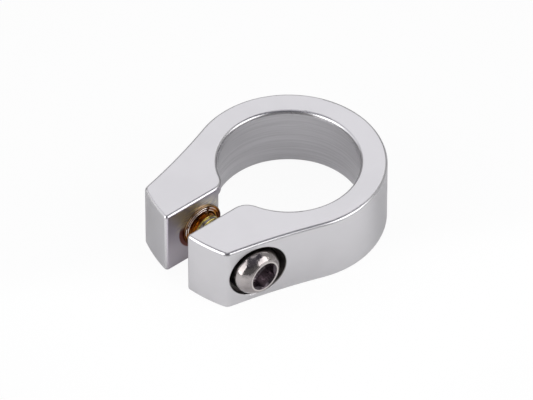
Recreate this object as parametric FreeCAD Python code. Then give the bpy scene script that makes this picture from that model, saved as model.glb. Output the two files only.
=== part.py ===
import FreeCAD, Part
import math
import os

# One-piece seatpost clamp: a split ring with two ears, drawn together by a button-shaped
# hexagon socket screw that runs in a brass bush. Millimetres, Z up along the bore.
# The origin is the centre of the bore at half its height, level with the screw, and the
# ears point along -Y.

# Band, the one-piece aluminium body
band_height = 14.0
band_outer_radius = 18.75
tube_bore_radius = 14.3
lip_bore_radius = 13.65
lip_thickness = 2.0
bore_lead_in = 0.9
bore_corner_round = 0.1
top_edge_round = 0.7
foot_edge_round = 0.45

# Ears and the gap between them
gap_width = 5.9
gap_mouth_radius = 3.65
ear_reach = 28.05
ear_half_width = 12.15
ear_end_radius = 31.0
ear_corner_radius = 1.5
gap_corner_radius = 0.7
neck_radius = 140.0

# Screw, metric 6 with a domed head and a 5 mm hexagon socket
screw_offset = 19.25
screw_radius = 3.0
screw_length = 20.0
screw_tip_chamfer = 0.6
underhead_radius = 0.3
head_radius = 4.95
head_wall_height = 3.2
head_height = 6.0
head_face_radius = 3.4
dome_bulge = 0.42
socket_width = 5.0
socket_depth = 3.0
socket_chamfer_radius = 2.97
socket_drill_angle = 118.0

# Seat of the head in the right ear
seat_to_gap = 6.65
seat_clearance = 0.02
head_side_clearance = 0.7
shank_clearance = 0.3
pocket_edge_round = 0.25

# Brass bush pressed into the left ear
bush_radius = 4.5
bush_wall_to_gap = 7.45
bush_stand_out = 0.4
bush_collar_radius = 5.2
bush_collar_height = 1.8
bush_edge_chamfer = 0.3
bush_mouth_chamfer = 0.55
thread_clearance = 0.05
collar_side_clearance = 0.45

# Places that follow from the sizes above
gap_half = gap_width / 2
band_top = band_height / 2
band_bottom = -band_top
lip_underside = band_top - lip_thickness
head_seat_x = gap_half + seat_to_gap
head_top_x = head_seat_x + seat_clearance + head_height
collar_seat_x = -(gap_half + bush_wall_to_gap)
overshoot = 5.0
overlap = 0.01
flat = 1e-6
same_place = 0.05
X_AXIS = FreeCAD.Vector(1, 0, 0)
Z_AXIS = FreeCAD.Vector(0, 0, 1)


def point(x, y, z=0.0):
    return FreeCAD.Vector(x, y, z)


def polar(centre, radius, angle):
    return point(centre.x + radius * math.cos(angle), centre.y + radius * math.sin(angle), centre.z)


def arc_between(centre, radius, start, end, middle_direction):
    """Arc about centre from start to end that passes on the side of middle_direction."""
    middle = centre + middle_direction.normalize() * radius
    return Part.Arc(start, middle, end).toShape()


def mirrored(v):
    return point(-v.x, v.y, v.z)


def prism(edges, bottom, top):
    wire = Part.Wire(Part.__sortEdges__(edges))
    face = Part.Face(wire)
    face.translate(point(0, 0, bottom))
    return face.extrude(point(0, 0, top - bottom))


def outer_block():
    """The band without its bore or gap: ring, two slightly hollow necks and a bowed end."""
    end_centre = point(0, ear_end_radius - ear_reach)
    corner_y = end_centre.y - math.sqrt(ear_end_radius ** 2 - ear_half_width ** 2)
    corner = point(ear_half_width, corner_y)
    # The neck arc touches the ring from outside and ends at the ear's corner
    span = corner.Length
    reach = band_outer_radius + neck_radius
    turn = math.acos((reach ** 2 + span ** 2 - neck_radius ** 2) / (2 * reach * span))
    bearing = math.atan2(corner.y, corner.x) + turn
    neck_centre = polar(point(0, 0), reach, bearing)
    tangent = polar(point(0, 0), band_outer_radius, bearing)
    neck_middle = (tangent + corner) / 2 - neck_centre
    edges = [
        arc_between(point(0, 0), band_outer_radius, tangent, mirrored(tangent), point(0, 1)),
        arc_between(neck_centre, neck_radius, tangent, corner, neck_middle),
        arc_between(mirrored(neck_centre), neck_radius, mirrored(tangent), mirrored(corner),
                    mirrored(neck_middle)),
        arc_between(end_centre, ear_end_radius, corner, mirrored(corner), point(0, -1)),
    ]
    block = prism(edges, band_bottom, band_top)
    corners = [e for e in block.Edges if is_tip(e, ear_half_width)]
    return block.makeFillet(ear_corner_radius, corners)


def near(a, b):
    return abs(a - b) < same_place


def is_tip(edge, distance):
    """An upright edge beyond the screw, at this distance from the middle of the gap."""
    box = edge.BoundBox
    upright = box.XLength < flat and box.YLength < flat
    place = edge.CenterOfMass
    return upright and place.y < -screw_offset and near(abs(place.x), distance)


def is_level(edge, height):
    box = edge.BoundBox
    return box.ZLength < flat and abs(edge.CenterOfMass.z - height) < flat


def opening(bore_radius, bottom, top):
    """Bore and gap in one: the two meet in a large rounding on each side."""
    mouth_x = gap_half + gap_mouth_radius
    mouth_y = -math.sqrt((bore_radius + gap_mouth_radius) ** 2 - mouth_x ** 2)
    mouth_centre = point(mouth_x, mouth_y)
    on_gap = point(gap_half, mouth_y)
    on_bore = mouth_centre * (bore_radius / mouth_centre.Length)
    side = (on_gap - mouth_centre).normalize() + (on_bore - mouth_centre).normalize()
    far_y = -(ear_reach + overshoot)
    edges = [
        arc_between(point(0, 0), bore_radius, on_bore, mirrored(on_bore), point(0, 1)),
        arc_between(mouth_centre, gap_mouth_radius, on_bore, on_gap, side),
        arc_between(mirrored(mouth_centre), gap_mouth_radius, mirrored(on_bore), mirrored(on_gap),
                    mirrored(side)),
        Part.LineSegment(on_gap, point(gap_half, far_y)).toShape(),
        Part.LineSegment(mirrored(on_gap), point(-gap_half, far_y)).toShape(),
        Part.LineSegment(point(gap_half, far_y), point(-gap_half, far_y)).toShape(),
    ]
    return prism(edges, bottom, top)


def tube_opening():
    """Opening below the lip, with the small rounding that a boring tool leaves under it."""
    tool = opening(tube_bore_radius, band_bottom - overshoot, lip_underside)
    corner = [e for e in tool.Edges if is_level(e, lip_underside) and e.BoundBox.YMax > 0]
    return tool.makeFillet(bore_corner_round, corner)


def along_screw(radius, start_x, end_x):
    """Round bar on the screw's axis between two places along X."""
    base = point(start_x, -screw_offset)
    return Part.makeCylinder(radius, end_x - start_x, base, X_AXIS)


def revolved(profile):
    """Solid of revolution about the screw's axis from (x, radius) points and edges."""
    face = Part.Face(Part.Wire(profile))
    solid = face.revolve(point(0, 0, 0), X_AXIS, 360)
    solid.translate(point(0, -screw_offset))
    return solid


def lines(*corners):
    """Straight edges through (x, radius) corners, drawn in the XY plane."""
    pts = [point(x, r) for x, r in corners]
    return [Part.LineSegment(a, b).toShape() for a, b in zip(pts, pts[1:])]


def make_band():
    band = outer_block()
    band = band.cut(opening(lip_bore_radius, band_bottom - overshoot, band_top + overshoot))
    band = band.cut(tube_opening())
    tips = [e for e in band.Edges if is_tip(e, gap_half)]
    band = band.makeFillet(gap_corner_radius, tips)
    for height, radius in ((band_top, top_edge_round), (band_bottom, foot_edge_round)):
        band = band.makeFillet(radius, [e for e in band.Edges if is_level(e, height)])
    # Lead-in turned into the foot of the bore
    wide = tube_bore_radius + bore_lead_in
    foot = point(0, 0, band_bottom)
    band = band.cut(Part.makeCone(wide, tube_bore_radius, bore_lead_in, foot, Z_AXIS))
    # Pocket and clearance hole for the screw in the right ear
    pocket_radius = head_radius + head_side_clearance
    band = band.cut(along_screw(pocket_radius, head_seat_x, head_seat_x + 2 * overshoot))
    band = band.cut(along_screw(screw_radius + shank_clearance, 0, head_seat_x + overshoot))
    # Pocket and through hole for the bush in the left ear
    collar_pocket = bush_collar_radius + collar_side_clearance
    band = band.cut(along_screw(collar_pocket, collar_seat_x - 2 * overshoot, collar_seat_x))
    band = band.cut(along_screw(bush_radius, collar_seat_x - overshoot, 0))
    mouths = [e for e in band.Edges if is_pocket_mouth(e, pocket_radius)
              or is_pocket_mouth(e, collar_pocket)]
    return band.makeFillet(pocket_edge_round, mouths)


def is_pocket_mouth(edge, radius):
    """Part of the curved edge where a pocket on the screw's axis breaks through an ear."""
    box = edge.BoundBox
    if box.XLength < flat or max(box.YLength, box.ZLength) < same_place:
        return False
    from_axis = [math.hypot(p.y + screw_offset, p.z) for p in edge.discretize(9)]
    return all(near(distance, radius) for distance in from_axis)


def make_screw():
    seat = head_seat_x + seat_clearance
    tip = seat - screw_length
    wall_top = seat + head_wall_height
    # The dome runs from the head's straight wall to the flat ring round the socket
    low = point(wall_top, head_radius)
    high = point(head_top_x, head_face_radius)
    outward = point(high.y - low.y, -(high.x - low.x)).normalize()
    crown = (low + high) / 2 - outward * dome_bulge
    profile = lines((tip, 0), (tip, screw_radius - screw_tip_chamfer),
                    (tip + screw_tip_chamfer, screw_radius),
                    (seat - underhead_radius, screw_radius))
    profile.append(Part.Arc(
        point(seat - underhead_radius, screw_radius),
        point(seat - underhead_radius * (1 - math.sin(math.pi / 4)),
              screw_radius + underhead_radius * (1 - math.cos(math.pi / 4))),
        point(seat, screw_radius + underhead_radius)).toShape())
    profile += lines((seat, screw_radius + underhead_radius), (seat, head_radius),
                     (wall_top, head_radius))
    profile.append(Part.Arc(low, crown, high).toShape())
    profile += lines((head_top_x, head_face_radius), (head_top_x, 0), (tip, 0))
    return revolved(profile).cut(socket_tool())


def socket_tool():
    """Hexagon with its corners above and below the axis, a chamfered mouth and a drilled foot."""
    corner_radius = socket_width / math.sqrt(3)
    floor = head_top_x - socket_depth
    angles = [math.radians(60 * i) for i in range(7)]
    corners = [point(floor, -screw_offset + corner_radius * math.sin(a),
                     corner_radius * math.cos(a)) for a in angles]
    hexagon = Part.Face(Part.makePolygon(corners))
    tool = hexagon.extrude(point(socket_depth + overshoot, 0, 0))
    rise = socket_width / 2 / math.tan(math.radians(socket_drill_angle / 2))
    drilled = revolved(lines((floor - rise, 0), (floor, socket_width / 2),
                             (floor + overlap, socket_width / 2), (floor + overlap, 0),
                             (floor - rise, 0)))
    depth = socket_chamfer_radius - socket_width / 2
    mouth = revolved(lines((head_top_x - depth, 0), (head_top_x - depth, socket_width / 2),
                           (head_top_x, socket_chamfer_radius),
                           (head_top_x + overshoot, socket_chamfer_radius),
                           (head_top_x + overshoot, 0), (head_top_x - depth, 0)))
    return tool.fuse([drilled, mouth])


def make_bush():
    """Collared brass bush: the collar sits in the outer pocket and the barrel ends in the gap."""
    bore = screw_radius + thread_clearance
    gap_end = -(gap_half - bush_stand_out)
    outer_end = collar_seat_x - bush_collar_height
    c = bush_edge_chamfer
    m = bush_mouth_chamfer
    return revolved(lines(
        (gap_end - m, bore), (gap_end, bore + m), (gap_end, bush_radius - c),
        (gap_end - c, bush_radius), (collar_seat_x, bush_radius),
        (collar_seat_x, bush_collar_radius), (outer_end + c, bush_collar_radius),
        (outer_end, bush_collar_radius - c), (outer_end, bore + m), (outer_end + m, bore),
        (gap_end - m, bore)))


os.makedirs("parts", exist_ok=True)
parts = {
    "clamp_band": make_band(),
    "clamp_screw": make_screw(),
    "thread_bush": make_bush(),
}
for name, shape in parts.items():
    shape.exportStep("parts/" + name + ".step")
    print(name, "solids", len(shape.Solids), "valid", shape.isValid(), "volume", round(shape.Volume, 2))
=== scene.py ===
import math

import bmesh
import bpy
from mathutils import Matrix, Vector


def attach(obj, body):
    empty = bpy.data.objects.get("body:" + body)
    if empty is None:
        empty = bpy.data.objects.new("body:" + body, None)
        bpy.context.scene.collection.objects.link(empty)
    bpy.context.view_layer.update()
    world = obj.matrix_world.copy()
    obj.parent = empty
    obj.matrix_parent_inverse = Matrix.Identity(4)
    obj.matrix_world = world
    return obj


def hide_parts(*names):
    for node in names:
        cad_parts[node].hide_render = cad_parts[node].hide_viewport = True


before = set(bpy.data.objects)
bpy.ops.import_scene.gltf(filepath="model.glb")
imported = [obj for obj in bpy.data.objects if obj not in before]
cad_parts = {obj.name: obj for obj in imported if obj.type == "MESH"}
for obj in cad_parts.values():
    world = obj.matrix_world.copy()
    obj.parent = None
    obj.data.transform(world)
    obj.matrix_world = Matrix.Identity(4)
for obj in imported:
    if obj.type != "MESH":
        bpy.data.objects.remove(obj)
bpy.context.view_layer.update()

# Seatpost clamp: satin aluminium band, polished steel socket screw and a turned brass bush.
# Sizes are millimetres in the frame's own axes. Z runs up the bore and X along the screw.

MM = 0.001

# Band, for the places where its finish changes
BAND_TOP = 7.0
BORE_RADIUS = 14.3
GAP_HALF = 2.95
GAP_MOUTH_Y = -12.5
EAR_TIP_Y = -27.9
POCKET_RADIUS = 5.65
POCKET_FLOOR_X = 9.2

# Painted light and shade on the left ear's gap face: how far the painted reflection of the bush
# reaches, and the painted shade, a circle off the screw's axis
REFLECTION_REACH = 7.2
SHADE_RADIUS = 4.7
SHADE_ASIDE = 0.75
SHADE_ABOVE = 0.3
SHADE_EDGE = 0.15

# Screw, as the solid has it, with the thread that the solid leaves out
SCREW_OFFSET = 19.25
SEAT_X = 9.62
HEAD_RADIUS = 4.95
HEAD_FOOT_ROUND = 0.22
HEAD_WALL_X = 12.82
HEAD_TOP_X = 15.62
HEAD_FACE_RADIUS = 3.4
HEAD_FACE_ROUND = 0.12
DOME_BULGE = 0.42
TIP_X = -10.38
TIP_CHAMFER = 0.6

# Thread, with its crests and flanks as shares of the pitch
THREAD_RADIUS = 3.0
THREAD_ROOT = 2.39
THREAD_PITCH = 1.0
THREAD_PHASE = 0.44
CREST_HALF = 0.07
FLANK = 0.33
ROOT_ROUNDING = 0.06
SHANK_RELIEF = 0.22
FADE_END = 1.3
FADE_LENGTH = 0.8

# Socket, with the drilled foot as depths under its floor and radii
SOCKET_WIDTH = 5.0
SOCKET_CORNER_ROUND = 0.07
SOCKET_MOUTH_RADIUS = 2.97
SOCKET_MOUTH_ROUND = 0.06
SOCKET_FLOOR_X = 12.62
SOCKET_FLOOR_EDGE = 0.1
SOCKET_END_X = 11.0
SOCKET_DRILL = ((0.0, 2.35), (0.7, 1.2), (1.42, 0.12))
SOCKET_DRILL_DEPTH = 1.5

# Bush
BUSH_GAP_X = -2.55
BUSH_SHOULDER_X = -10.4
BUSH_OUTER_X = -12.2
BUSH_RADIUS = 4.5
BUSH_COLLAR_RADIUS = 5.2
BUSH_BORE = 3.05
BUSH_MOUTH = 3.6
BUSH_LEAD_IN = 0.55
BUSH_EDGE_ROUND = 0.14
COLLAR_EDGE_ROUND = 0.28

# Turned ridges on the bush's face, each with a groove outside it
RIDGE_COUNT = 2
RIDGE_RADIUS = 3.3
RIDGE_PITCH = 0.5
RIDGE_WIDTH = 0.22
RIDGE_INNER_ROUND = 0.04
RIDGE_OUTER_ROUND = 0.13
GROOVE_OFFSET = 0.36
GROOVE_DEPTH = 0.26
GROOVE_ROUND = 0.03
LAND_ROUND = 0.05

# Smoothness of the turned shapes
HEAD_SEGMENTS = 240
THREAD_SEGMENTS = 96
THREAD_SLICES = 16
BUSH_SEGMENTS = 160
DOME_STEPS = 28
MOUTH_STEPS = 4
SHARP_ANGLE = 32

# Colours of the finishes and of the painted light and shade, as red, green, blue and alpha
GAP_SHADE_SILVER = (0.57, 0.535, 0.585, 1.0)
PAINTED_BRASS_REFLECTION = (0.92, 0.87, 0.70, 1.0)
PAINTED_BUSH_SHADE = (0.18, 0.06, 0.05, 1.0)
SHADED_STEEL = (0.26, 0.235, 0.235, 1.0)
PALE_STEEL = (0.44, 0.41, 0.40, 1.0)
FACE_STEEL = (0.60, 0.565, 0.545, 1.0)
PAINTED_BRASS_GLINT = (0.86, 0.74, 0.20, 1.0)
AMBER_STEEL = (0.30, 0.11, 0.015, 1.0)
SOCKET_SHADE_DARK = (0.20, 0.165, 0.185, 1.0)
SOCKET_SHADE_LIGHT = (0.36, 0.31, 0.335, 1.0)
CONE_SHADE = (0.09, 0.075, 0.085, 1.0)
DARK_BRASS = (0.16, 0.045, 0.004, 1.0)
ORANGE_BRASS = (0.60, 0.26, 0.025, 1.0)
RIM_SHADE = (0.07, 0.018, 0.003, 1.0)
RIM_LIGHT = (0.36, 0.26, 0.16, 1.0)
PAINTED_RIDGE_HIGHLIGHT = (0.97, 0.86, 0.80, 1.0)

# Camera, aimed at the foot of the bore and then moved across and up in its own view
CAMERA_AZIMUTH = 49.545
CAMERA_ELEVATION = 43.613
CAMERA_DISTANCE = 1563.1
CAMERA_LENS = 553.83
AIM_ACROSS = -4.223
AIM_UPWARD = 2.639

# Floor and room as the metal mirrors them, in greys from 0 to 1 where they have no other colour
FLOOR_HALF_WIDTH = 4000.0
FLOOR_LIT = 0.9
FLOOR_UNLIT = 0.64
FLOOR_FAR_OFF = 0.55
HORIZON = 0.50
WALL = 0.18
CEILING = (0.14, 0.135, 0.165, 1.0)
BACK_GLOW = 0.55
NEAR_WALL = 0.24
NEAR_CEILING = (0.10, 0.095, 0.115, 1.0)

# Lamps: name, azimuth, elevation, distance, width, height, brightness and whether metal mirrors it
LAMPS = (
    ("left_strip", -11, 24, 800, 640, 1000, 2.6, True),
    ("left_box", -50, 32, 900, 850, 950, 0.9, True),
    ("right_box", 117, 29, 800, 700, 620, 2.7, True),
    ("back_box", -130, 46, 900, 1250, 950, 1.05, True),
    ("top_box", 0, 89, 1000, 500, 500, 0.8, True),
    ("right_fill", 100, 42, 900, 450, 450, 4.2, False),
)


# Shader nodes

class Wire:
    """One output of a shader node, for use in ordinary arithmetic."""

    def __init__(self, graph, socket):
        self.graph = graph
        self.socket = socket

    def out(self, name):
        """Another output of the same node."""
        return Wire(self.graph, self.socket.node.outputs[name])

    def maths(self, operation, *values):
        return self.graph.node("ShaderNodeMath", {"operation": operation}, *values)

    def __add__(self, other):
        return self.maths("ADD", self, other)

    def __radd__(self, other):
        return self.maths("ADD", other, self)

    def __sub__(self, other):
        return self.maths("SUBTRACT", self, other)

    def __rsub__(self, other):
        return self.maths("SUBTRACT", other, self)

    def __mul__(self, other):
        return self.maths("MULTIPLY", self, other)

    def __rmul__(self, other):
        return self.maths("MULTIPLY", other, self)

    def __pow__(self, other):
        return self.maths("POWER", self, other)

    def __rpow__(self, other):
        return self.maths("POWER", other, self)

    def __abs__(self):
        return self.maths("ABSOLUTE", self)

    def step(self, low, high):
        """0 up to low, 1 from high on and smooth between; falls instead where high is below low."""
        before, after = (0.0, 1.0) if low < high else (1.0, 0.0)
        return self.graph.node("ShaderNodeMapRange", {"interpolation_type": "SMOOTHSTEP"},
                               self, min(low, high), max(low, high), before, after)

    def inside(self, low, high, edge):
        """1 between low and high, with smooth edges of the given width outside them."""
        return self.step(low - edge, low) * self.step(high + edge, high)


class Graph:
    """The shader nodes of one material or of the world."""

    def __init__(self, owner):
        owner.use_nodes = True
        self.owner = owner
        self.tree = owner.node_tree
        self.tree.nodes.clear()

    def node(self, kind, settings, *values, **named):
        """Adds a node, settings first, and feeds its sockets in order or by name."""
        made = self.tree.nodes.new(kind)
        for name, value in settings.items():
            setattr(made, name, value)
        fed = list(zip([socket for socket in made.inputs if socket.enabled], values))
        fed += [(made.inputs[name.replace("_", " ")], value) for name, value in named.items()]
        for socket, value in fed:
            if isinstance(value, Wire):
                self.tree.links.new(value.socket, socket)
            else:
                socket.default_value = value
        return Wire(self, next((socket for socket in made.outputs if socket.enabled), None))

    def coordinates(self, kind):
        return self.node("ShaderNodeTexCoord", {}).out(kind)

    def place(self):
        """Where a point of the piece lies, in millimetres."""
        metres = self.coordinates("Object")
        return self.node("ShaderNodeVectorMath", {"operation": "SCALE"}, metres, 1 / MM)

    def split(self, vector):
        parts = self.node("ShaderNodeSeparateXYZ", {}, vector)
        return parts.out("X"), parts.out("Y"), parts.out("Z")

    def join(self, x, y, z):
        return self.node("ShaderNodeCombineXYZ", {}, x, y, z)

    def noise(self, vector, scale, detail=3.0, roughness=0.55):
        """Cloudy pattern between 0 and 1, with about as many clouds to the millimetre as the scale."""
        return self.node("ShaderNodeTexNoise", {}, Vector=vector, Scale=scale, Detail=detail,
                         Roughness=roughness)

    def blend(self, factor, first, second):
        """The first colour where the factor is 0 and the second where it is 1."""
        return self.node("ShaderNodeMix", {"data_type": "RGBA"}, factor, first, second)

    def bump(self, height, depth):
        """Relief that stands as high as the depth, in millimetres, where the height is 1."""
        return self.node("ShaderNodeBump", {}, Strength=1.0, Distance=depth * MM, Height=height)

    def finish(self, **inputs):
        """The surface shader with everything that feeds it, joined to the output."""
        surface = self.node("ShaderNodeBsdfPrincipled", {}, **inputs)
        self.node("ShaderNodeOutputMaterial", {}, Surface=surface)
        return self.owner


# Materials

def grey(value, warmth=0.0):
    return (value * (1 + warmth), value, value * (1 - warmth), 1.0)


def silver(value):
    """Neutral metal with the least touch of violet."""
    return (value * 1.005, value * 0.992, value * 1.015, 1.0)


def from_screw_axis(y, z, aside=0.0, above=0.0):
    """Distance from the screw's axis, or from a line beside and above it."""
    across = y + (SCREW_OFFSET + aside)
    up = z - above
    return (across * across + up * up) ** 0.5


def satin_aluminium():
    """Satin silver, smoother along the rims, milled in the gap and turned in the bore, with painted
    light and shade on the gap corner, bore, gap, pocket and round the bush.
    """
    graph = Graph(bpy.data.materials.new("satin_aluminium"))
    place = graph.place()
    x, y, z = graph.split(place)
    facing_x, _, facing_z = graph.split(graph.coordinates("Normal"))
    upward = abs(facing_z)
    upright = upward.step(0.2, 0.1)
    from_gap = abs(x)
    left_side = x.step(0.0, -GAP_HALF)
    from_screw = from_screw_axis(y, z)
    in_pocket = from_screw.step(POCKET_RADIUS + 0.14, POCKET_RADIUS + 0.02)
    in_pocket = in_pocket * from_gap.step(POCKET_FLOOR_X - 0.6, POCKET_FLOOR_X)

    # The roundings along the rims are neither level nor upright
    rim = upward.step(0.05, 0.16) * upward.step(0.992, 0.96) * (1 - in_pocket)

    # Painted highlight: the left ear's corner at the gap, which stands towards the light, is coloured
    # paler
    beside_gap = from_gap.step(GAP_HALF + 2, GAP_HALF + 1)
    at_tip = y.step(EAR_TIP_Y + 0.9, EAR_TIP_Y + 0.7)
    corner = left_side * beside_gap * at_tip * upright * facing_x.inside(0.25, 0.9, 0.08)

    in_bore = ((x * x + y * y) ** 0.5).step(BORE_RADIUS + 0.35, BORE_RADIUS + 0.1) * upright
    in_gap = y.step(GAP_MOUTH_Y, GAP_MOUTH_Y - 0.8) * abs(facing_x).step(0.6, 0.95) * beside_gap

    # Painted reflection of the brass bush as a pale yellow sheen above it, and painted shade of the
    # bush as a dark brown patch lower down
    left_gap_face = in_gap * left_side
    painted_reflection = from_screw.step(REFLECTION_REACH, REFLECTION_REACH - 2.2) * z.step(0.0, 3.0) * left_gap_face
    from_shade_centre = from_screw_axis(y, z, SHADE_ASIDE, SHADE_ABOVE)
    painted_shade = from_shade_centre.step(SHADE_RADIUS + SHADE_EDGE, SHADE_RADIUS - SHADE_EDGE)
    painted_shade = painted_shade * z.step(2.5, 1.0) * left_gap_face

    cloud = graph.noise(place, 0.09)
    grain = graph.noise(place, 5.2, 2.0)
    turning = graph.noise(graph.join(x * 0.02, y * 0.02, z), 2.6, 3.0, 0.7)
    milling = graph.noise(graph.join(x, y * 0.15, z), 3.0)
    # The bore's turning rings, on a colour painted paler than the band's as painted light against the
    # shade inside it
    paler_turned_bore = graph.blend(turning.step(0.3, 0.7), silver(0.70), silver(0.84))

    colour = graph.blend(cloud.step(0.3, 0.7), silver(0.59), silver(0.62))
    colour = graph.blend(rim, colour, silver(0.58))
    # Painted highlight on the left ear's corner at the gap
    colour = graph.blend(corner, colour, silver(0.66))
    colour = graph.blend(in_bore, colour, paler_turned_bore)
    # Painted shade: the gap's faces are coloured darker and more violet than the band; their milling
    # marks are in the relief
    colour = graph.blend(in_gap, colour, GAP_SHADE_SILVER)
    # Painted reflection above the bush and painted shade lower down
    colour = graph.blend(painted_reflection * milling.step(0.35, 0.65), colour, PAINTED_BRASS_REFLECTION)
    colour = graph.blend(painted_shade, colour, PAINTED_BUSH_SHADE)
    # Painted shade: the pocket round the screw's head is coloured dark grey
    colour = graph.blend(in_pocket, colour, grey(0.36, 0.03))
    roughness = 0.30 + 0.05 * cloud - 0.05 * rim - 0.08 * corner - 0.10 * in_bore + 0.02 * in_gap
    height = 0.6 * grain * (1 - rim) + 14.0 * turning * in_bore + milling * in_gap
    return graph.finish(Base_Color=colour, Metallic=1.0, Roughness=roughness,
                        Normal=graph.bump(height, 0.0022))


def polished_steel():
    """Steel of the screw: bright ring on the face, socket painted dark as shade, thread amber brown
    next to the bush and its crests painted yellow as reflected brass.
    """
    graph = Graph(bpy.data.materials.new("polished_steel"))
    place = graph.place()
    x, y, z = graph.split(place)
    from_axis = from_screw_axis(y, z)
    at_face = x.step(HEAD_TOP_X - 0.12, HEAD_TOP_X - 0.04)
    at_face = at_face * from_axis.step(SOCKET_MOUTH_RADIUS + 0.34, SOCKET_MOUTH_RADIUS + 0.24)

    # The chamfered mouth is a cone, and the socket's walls lie behind it
    behind_cone = from_axis - x + (HEAD_TOP_X - SOCKET_MOUTH_RADIUS)
    in_mouth = from_axis.step(SOCKET_MOUTH_RADIUS + 0.02, SOCKET_MOUTH_RADIUS - 0.02)
    in_socket = behind_cone.step(-0.06, -0.02) * in_mouth * x.step(SOCKET_END_X, SOCKET_END_X + 0.2)
    on_cone = behind_cone.inside(-0.06, 0.03, 0.02) * in_socket

    in_gap = abs(x).step(GAP_HALF + 0.4, GAP_HALF)
    on_crest = from_axis.step(THREAD_RADIUS - 0.22, THREAD_RADIUS - 0.06) * in_gap
    next_to_bush = x.step(-1.1, -1.7) * in_gap

    rings = graph.noise(graph.join(from_axis, 0.0, x), 3.6)
    forged = graph.noise(place, 0.65, 2.0)
    smear = graph.noise(place, 0.26)
    shade_mottle = graph.noise(place, 1.4, 4.0)
    dulled = graph.noise(graph.join(x * 0.4, y, z), 0.9).step(0.42, 0.62)

    colour = graph.blend(smear.step(0.3, 0.7), SHADED_STEEL, PALE_STEEL)
    # Painted reflection: the thread's crests in the gap are coloured yellow, as the brass bush
    # mirrored in them
    colour = graph.blend(0.9 * on_crest, colour, PAINTED_BRASS_GLINT)
    # Next to the bush the thread is coloured amber brown
    colour = graph.blend(next_to_bush, colour, AMBER_STEEL)
    colour = graph.blend(at_face, colour, FACE_STEEL)
    # Painted shade: the socket and its chamfered cone are coloured dark
    colour = graph.blend(in_socket, colour, graph.blend(shade_mottle, SOCKET_SHADE_DARK, SOCKET_SHADE_LIGHT))
    colour = graph.blend(on_cone, colour, CONE_SHADE)
    roughness = 0.09 + 0.17 * dulled + 0.12 * in_socket + 0.25 * at_face * (1 - in_socket)
    return graph.finish(Base_Color=colour, Metallic=1.0, Roughness=roughness,
                        Normal=graph.bump(0.008 * rings + forged, 0.12))


def turned_brass():
    """Brass mottled dark brown and orange, with painted highlights on its ridges, painted light and
    shade on its rim, and lathe rings.
    """
    graph = Graph(bpy.data.materials.new("turned_brass"))
    place = graph.place()
    x, y, z = graph.split(place)
    from_axis = from_screw_axis(y, z)
    rings = graph.noise(graph.join(from_axis, 0.0, x), 2.4)
    brass_mottle = graph.noise(place, 0.52)
    at_gap = x.step(BUSH_GAP_X - 0.7, BUSH_GAP_X - 0.5)
    rim = from_axis.step(BUSH_RADIUS - 0.18, BUSH_RADIUS - 0.1) * at_gap
    # Painted light and shade on the bush's rim: dark brown below, tan above
    rim_light_and_shade = graph.blend(z.step(0.5, 2.5), RIM_SHADE, RIM_LIGHT)

    # Painted highlights on the ridges' upper side, a little towards the ears' tips
    ridge_highlight = 0.0
    for k in range(RIDGE_COUNT):
        ridge = RIDGE_RADIUS + k * RIDGE_PITCH
        ridge_highlight = ridge_highlight + from_axis.inside(ridge + 0.1, ridge + 0.26, 0.03)
    upper_side = 0.94 * z - 0.34 * (y + SCREW_OFFSET)
    ridge_highlight = ridge_highlight * upper_side.step(0.6, 1.8) * brass_mottle.step(0.38, 0.46) * at_gap

    colour = graph.blend(brass_mottle.step(0.44, 0.66), DARK_BRASS, ORANGE_BRASS)
    colour = graph.blend(0.85 * rim, colour, rim_light_and_shade)
    colour = graph.blend(ridge_highlight, colour, PAINTED_RIDGE_HIGHLIGHT)
    return graph.finish(Base_Color=colour, Metallic=1.0, Roughness=0.07 + 0.10 * brass_mottle + 0.06 * ridge_highlight,
                        Normal=graph.bump(rings, 0.003))


# Mesh pieces

def turns(segments):
    """Evenly spaced angles once round."""
    return [2 * math.pi * i / segments for i in range(segments)]


def on_axis(x, radius, angle):
    """Place round the screw's axis: angle 0 points along +Y and a quarter turn along +Z."""
    return Vector((x, -SCREW_OFFSET + radius * math.cos(angle), radius * math.sin(angle))) * MM


def piece(name, mesh_parts, material, body):
    """One object from the functions that build its mesh, riding on its body."""
    mesh = bmesh.new()
    for build in mesh_parts:
        build(mesh)
    bmesh.ops.remove_doubles(mesh, verts=mesh.verts, dist=1e-8)
    bmesh.ops.dissolve_degenerate(mesh, dist=1e-9, edges=mesh.edges)
    bmesh.ops.recalc_face_normals(mesh, faces=mesh.faces)
    data = bpy.data.meshes.new(name)
    mesh.to_mesh(data)
    mesh.free()
    data.materials.append(material)
    data.shade_smooth()
    data.set_sharp_from_angle(angle=math.radians(SHARP_ANGLE))
    made = bpy.data.objects.new(name, data)
    bpy.context.scene.collection.objects.link(made)
    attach(made, body)
    return made


def weave(mesh, rows):
    """Skins closed rows of points, each joined to the next; a last row of one point is a tip."""
    made = [[mesh.verts.new(p) for p in row] for row in rows]
    for low, high in zip(made, made[1:]):
        count = len(low)
        for i in range(count):
            j = (i + 1) % count
            if len(high) == 1:
                mesh.faces.new((low[i], low[j], high[0]))
            else:
                mesh.faces.new((low[i], low[j], high[j], high[i]))


def swung(start, end, share):
    """Part of the way round from one spoke to another of the same length."""
    return start.slerp(end, share) * start.length


def rounded_profile(corners, steps=5):
    """Turns (x, radius, rounding) corners into points with an arc at each rounded one."""
    points = []
    for i, (x, radius, rounding) in enumerate(corners):
        here = Vector((x, radius))
        if rounding == 0:
            points.append(here)
            continue
        back = (Vector(corners[i - 1][:2]) - here).normalized()
        on = (Vector(corners[i + 1][:2]) - here).normalized()
        half = back.angle(on) / 2
        reach = rounding / math.tan(half)
        centre = here + (back + on).normalized() * (rounding / math.sin(half))
        start = here + back * reach - centre
        end = here + on * reach - centre
        points += [centre + swung(start, end, k / steps) for k in range(steps + 1)]
    return points


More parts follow.
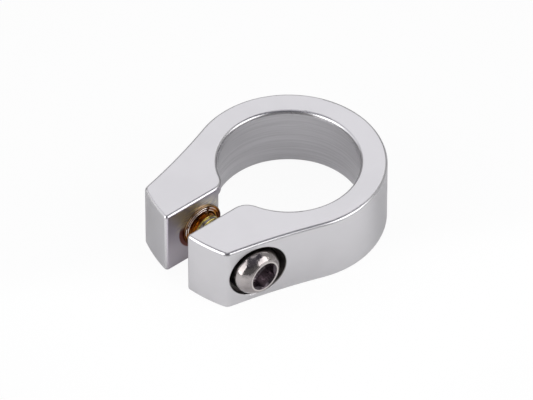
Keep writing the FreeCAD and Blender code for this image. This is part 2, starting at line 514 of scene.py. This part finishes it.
def arc_points(low, high, bulge, steps):
    """Points of a circular arc that stands off its chord by the bulge, away from the axis."""
    chord = high - low
    radius = (chord.length ** 2 / 4 + bulge ** 2) / (2 * bulge)
    outward = Vector((-chord.y, chord.x)).normalized()
    if outward.y < 0:
        outward = -outward
    centre = (low + high) / 2 - outward * (radius - bulge)
    return [centre + swung(low - centre, high - centre, k / steps) for k in range(steps + 1)]


def hexagon_radius(angle, width):
    """Distance from the axis to a hexagon with softened corners above and below the axis."""
    sixth = math.pi / 3
    from_flat = (angle + sixth / 2) % sixth - sixth / 2
    flat = width / 2 / math.cos(from_flat)
    corner = width / math.sqrt(3) - SOCKET_CORNER_ROUND
    return min(flat, corner)


def screw_head(mesh):
    """Seat, wall, dome and face of the head, then the socket down to its drilled foot."""
    angles = turns(HEAD_SEGMENTS)

    def ring(x, radius):
        return [on_axis(x, radius, angle) for angle in angles]

    foot = rounded_profile([
        (SEAT_X, THREAD_RADIUS - 0.4, 0),
        (SEAT_X, HEAD_RADIUS, HEAD_FOOT_ROUND),
        (HEAD_WALL_X, HEAD_RADIUS, 0)])
    dome = arc_points(Vector((HEAD_WALL_X, HEAD_RADIUS)), Vector((HEAD_TOP_X, HEAD_FACE_RADIUS)),
                      DOME_BULGE, DOME_STEPS)[1:-1]
    # The first and last corners here give only the directions of the dome and of the cone
    face = rounded_profile([
        (HEAD_TOP_X - 0.3, HEAD_FACE_RADIUS + 0.17, 0),
        (HEAD_TOP_X, HEAD_FACE_RADIUS, HEAD_FACE_ROUND),
        (HEAD_TOP_X, SOCKET_MOUTH_RADIUS, SOCKET_MOUTH_ROUND),
        (HEAD_TOP_X - 0.4, SOCKET_MOUTH_RADIUS - 0.4, 0)])[1:-1]
    rows = [ring(p.x, p.y) for p in foot + dome + face]

    # The chamfered mouth runs down to the hexagon, further at its corners
    for k in range(1, MOUTH_STEPS + 1):
        row = []
        for angle in angles:
            wall = hexagon_radius(angle, SOCKET_WIDTH)
            radius = SOCKET_MOUTH_RADIUS + (wall - SOCKET_MOUTH_RADIUS) * k / MOUTH_STEPS
            row.append(on_axis(HEAD_TOP_X - (SOCKET_MOUTH_RADIUS - radius), radius, angle))
        rows.append(row)

    for inset in (0, SOCKET_FLOOR_EDGE):
        x = SOCKET_FLOOR_X + SOCKET_FLOOR_EDGE - inset
        width = SOCKET_WIDTH - 2 * inset
        rows.append([on_axis(x, hexagon_radius(angle, width), angle) for angle in angles])
    for depth, radius in SOCKET_DRILL:
        rows.append(ring(SOCKET_FLOOR_X - depth, radius))
    rows.append([on_axis(SOCKET_FLOOR_X - SOCKET_DRILL_DEPTH, 0, 0)])
    weave(mesh, rows)


def clamped(value):
    return min(max(value, 0.0), 1.0)


def thread_radius(x, angle):
    """Right-hand metric thread: narrow flat crests, rounded roots, fading under the head."""
    turn = (x - THREAD_PHASE) / THREAD_PITCH - angle / (2 * math.pi)
    from_crest = abs(turn - round(turn))
    depth = clamped((from_crest - CREST_HALF) / FLANK)
    depth = depth + ROOT_ROUNDING * math.sin(2 * math.pi * depth) * depth
    full = THREAD_RADIUS - (THREAD_RADIUS - THREAD_ROOT) * min(depth, 1.0)
    fade = clamped((SEAT_X - FADE_END - x) / FADE_LENGTH)
    shank = THREAD_RADIUS - SHANK_RELIEF
    radius = shank + (full - shank) * fade
    return min(radius, THREAD_RADIUS - TIP_CHAMFER + (x - TIP_X))


def threaded_shank(mesh):
    """Columns of points that climb with the thread, and the tip's flat end."""
    first = math.floor((TIP_X - THREAD_PITCH) / THREAD_PITCH * THREAD_SLICES)
    last = math.ceil(SEAT_X / THREAD_PITCH * THREAD_SLICES)
    columns = []
    for angle in turns(THREAD_SEGMENTS):
        column = []
        for k in range(first, last + 1):
            x = (k / THREAD_SLICES + angle / (2 * math.pi)) * THREAD_PITCH + THREAD_PHASE
            x = min(max(x, TIP_X), SEAT_X)
            column.append(mesh.verts.new(on_axis(x, thread_radius(x, angle), angle)))
        columns.append(column)

    # A full turn of the helix lands one pitch further on
    columns.append(columns[0][THREAD_SLICES:] + [columns[0][-1]] * THREAD_SLICES)
    for near, far in zip(columns, columns[1:]):
        for k in range(last - first):
            corners = []
            for vert in (near[k], near[k + 1], far[k + 1], far[k]):
                if vert not in corners:
                    corners.append(vert)
            if len(corners) > 2 and mesh.faces.get(corners) is None:
                mesh.faces.new(corners)

    tip = [on_axis(TIP_X, THREAD_RADIUS - TIP_CHAMFER, angle) for angle in turns(THREAD_SEGMENTS)]
    weave(mesh, [tip, [on_axis(TIP_X, 0, 0)]])


def bush(mesh):
    """Turned sleeve: ridges on the gap's face, a collar at the outer end, a lead-in at both."""
    corners = [(BUSH_GAP_X - BUSH_LEAD_IN, BUSH_BORE, 0)]
    for k in range(RIDGE_COUNT):
        ridge = RIDGE_RADIUS + k * RIDGE_PITCH
        corners += [
            (BUSH_GAP_X, ridge, RIDGE_INNER_ROUND),
            (BUSH_GAP_X, ridge + RIDGE_WIDTH, RIDGE_OUTER_ROUND),
            (BUSH_GAP_X - GROOVE_DEPTH, ridge + GROOVE_OFFSET, GROOVE_ROUND)]
    corners += [
        (BUSH_GAP_X, RIDGE_RADIUS + RIDGE_COUNT * RIDGE_PITCH, LAND_ROUND),
        (BUSH_GAP_X, BUSH_RADIUS, BUSH_EDGE_ROUND),
        (BUSH_SHOULDER_X, BUSH_RADIUS, 0.02),
        (BUSH_SHOULDER_X, BUSH_COLLAR_RADIUS, BUSH_EDGE_ROUND),
        (BUSH_OUTER_X, BUSH_COLLAR_RADIUS, COLLAR_EDGE_ROUND),
        (BUSH_OUTER_X, BUSH_MOUTH, 0.1),
        (BUSH_OUTER_X + BUSH_LEAD_IN, BUSH_BORE, 0)]
    profile = rounded_profile(corners)
    profile.append(profile[0])
    weave(mesh, [[on_axis(p.x, p.y, angle) for angle in turns(BUSH_SEGMENTS)] for p in profile])


# Stage: camera, floor, room and soft lamps

def direction(azimuth, elevation):
    """From the clamp, with azimuth 0 out past the ears and 90 along +X, towards the screw's head."""
    a, e = math.radians(azimuth), math.radians(elevation)
    return Vector((math.sin(a) * math.cos(e), -math.cos(a) * math.cos(e), math.sin(e)))


def set_camera():
    turn = math.radians(CAMERA_AZIMUTH)
    away = direction(CAMERA_AZIMUTH, CAMERA_ELEVATION)
    across = Vector((math.cos(turn), math.sin(turn), 0))
    upward = away.cross(across)
    aim = Vector((0, 0, -BAND_TOP)) + AIM_ACROSS * across + AIM_UPWARD * upward
    data = bpy.data.cameras.new("camera")
    data.sensor_fit = "HORIZONTAL"
    data.sensor_width = 36.0
    data.lens = CAMERA_LENS
    data.clip_start = 100 * MM
    data.clip_end = 20000 * MM
    camera = bpy.data.objects.new("camera", data)
    camera.location = (aim + away * CAMERA_DISTANCE) * MM
    camera.rotation_mode = "QUATERNION"
    camera.rotation_quaternion = away.to_track_quat("Z", "Y")
    bpy.context.scene.collection.objects.link(camera)
    bpy.context.scene.camera = camera


def lay_floor():
    """Paper that looks white to the camera and takes the clamp's shadow; the metal sees it grey."""
    graph = Graph(bpy.data.materials.new("pale_floor"))
    x, y, _ = graph.split(graph.place())
    # Painted pool of light: the paper is coloured palest on the side of the screw's head and darkest
    # far off, and the glow the metal mirrors grows with it
    painted_light_pool = (x - 0.6 * y).step(6, 20)
    far_off = ((x * x + y * y) ** 0.5).step(45, 100)
    colour = graph.blend(painted_light_pool, grey(FLOOR_UNLIT), grey(FLOOR_LIT))
    colour = graph.blend(far_off, colour, grey(FLOOR_FAR_OFF))
    paper = graph.node("ShaderNodeBsdfPrincipled", {}, Base_Color=colour, Roughness=0.9)
    glow = graph.node("ShaderNodeEmission", {}, Color=grey(1.0), Strength=1.0)
    path = graph.node("ShaderNodeLightPath", {})
    mirrored = path.out("Is Glossy Ray") + path.out("Is Transmission Ray")
    white = 0.94 * path.out("Is Camera Ray") + mirrored * (0.10 + 0.12 * painted_light_pool)
    surface = graph.node("ShaderNodeMixShader", {}, white, paper, glow)
    graph.node("ShaderNodeOutputMaterial", {}, Surface=surface)
    mesh = bmesh.new()
    bmesh.ops.create_grid(mesh, x_segments=8, y_segments=8, size=FLOOR_HALF_WIDTH * MM)
    bmesh.ops.translate(mesh, verts=mesh.verts, vec=Vector((0, 0, -BAND_TOP * MM)))
    data = bpy.data.meshes.new("floor")
    mesh.to_mesh(data)
    mesh.free()
    data.materials.append(graph.owner)
    floor = bpy.data.objects.new("floor", data)
    bpy.context.scene.collection.objects.link(floor)


def set_world():
    """White to the camera. The metal sees a grey room, dark overhead and near, with a glow behind."""
    world = bpy.data.worlds.new("studio")
    bpy.context.scene.world = world
    graph = Graph(world)
    x, y, z = graph.split(graph.coordinates("Generated"))
    sky = graph.blend(z.step(0.02, 0.30), grey(HORIZON), grey(WALL))
    sky = graph.blend(z.step(0.34, 0.62), sky, CEILING)
    behind = 0.17 * x + 0.85 * y + 0.5 * z
    sky = graph.blend(behind.step(0.84, 0.96), sky, grey(BACK_GLOW))
    near_side = (0.76 * x - 0.65 * y).step(0.35, 0.85)
    dusk = graph.blend(z.step(0.38, 0.62), grey(NEAR_WALL), NEAR_CEILING)
    sky = graph.blend(near_side, sky, dusk)
    seen = graph.node("ShaderNodeLightPath", {}).out("Is Camera Ray")
    sky = graph.blend(seen, sky, grey(1.0))
    background = graph.node("ShaderNodeBackground", {}, Color=sky, Strength=1.0)
    graph.node("ShaderNodeOutputWorld", {}, Surface=background)


def hang_lamp(name, azimuth, elevation, distance, width, height, brightness, mirrored):
    """Oval soft box that faces the clamp from its direction; brightness 1 looks white."""
    away = direction(azimuth, elevation)
    data = bpy.data.lights.new(name, "AREA")
    data.shape = "ELLIPSE"
    data.size = width * MM
    data.size_y = height * MM
    area = math.pi / 4 * data.size * data.size_y
    data.energy = brightness * math.pi * area
    lamp = bpy.data.objects.new(name, data)
    lamp.location = away * distance * MM
    lamp.rotation_mode = "QUATERNION"
    lamp.rotation_quaternion = away.to_track_quat("Z", "Y")
    lamp.visible_glossy = mirrored
    bpy.context.scene.collection.objects.link(lamp)


set_camera()
lay_floor()
set_world()
for lamp in LAMPS:
    hang_lamp(*lamp)
bpy.context.scene.view_settings.view_transform = "Standard"

aluminium = satin_aluminium()
steel = polished_steel()
brass = turned_brass()

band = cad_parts["clamp_band"]
band.data.materials.clear()
band.data.materials.append(aluminium)

screw = piece("socket_screw", [screw_head, threaded_shank], steel, "screw")
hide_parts("clamp_screw")
nut = piece("brass_bush", [bush], brass, "band")
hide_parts("thread_bush")
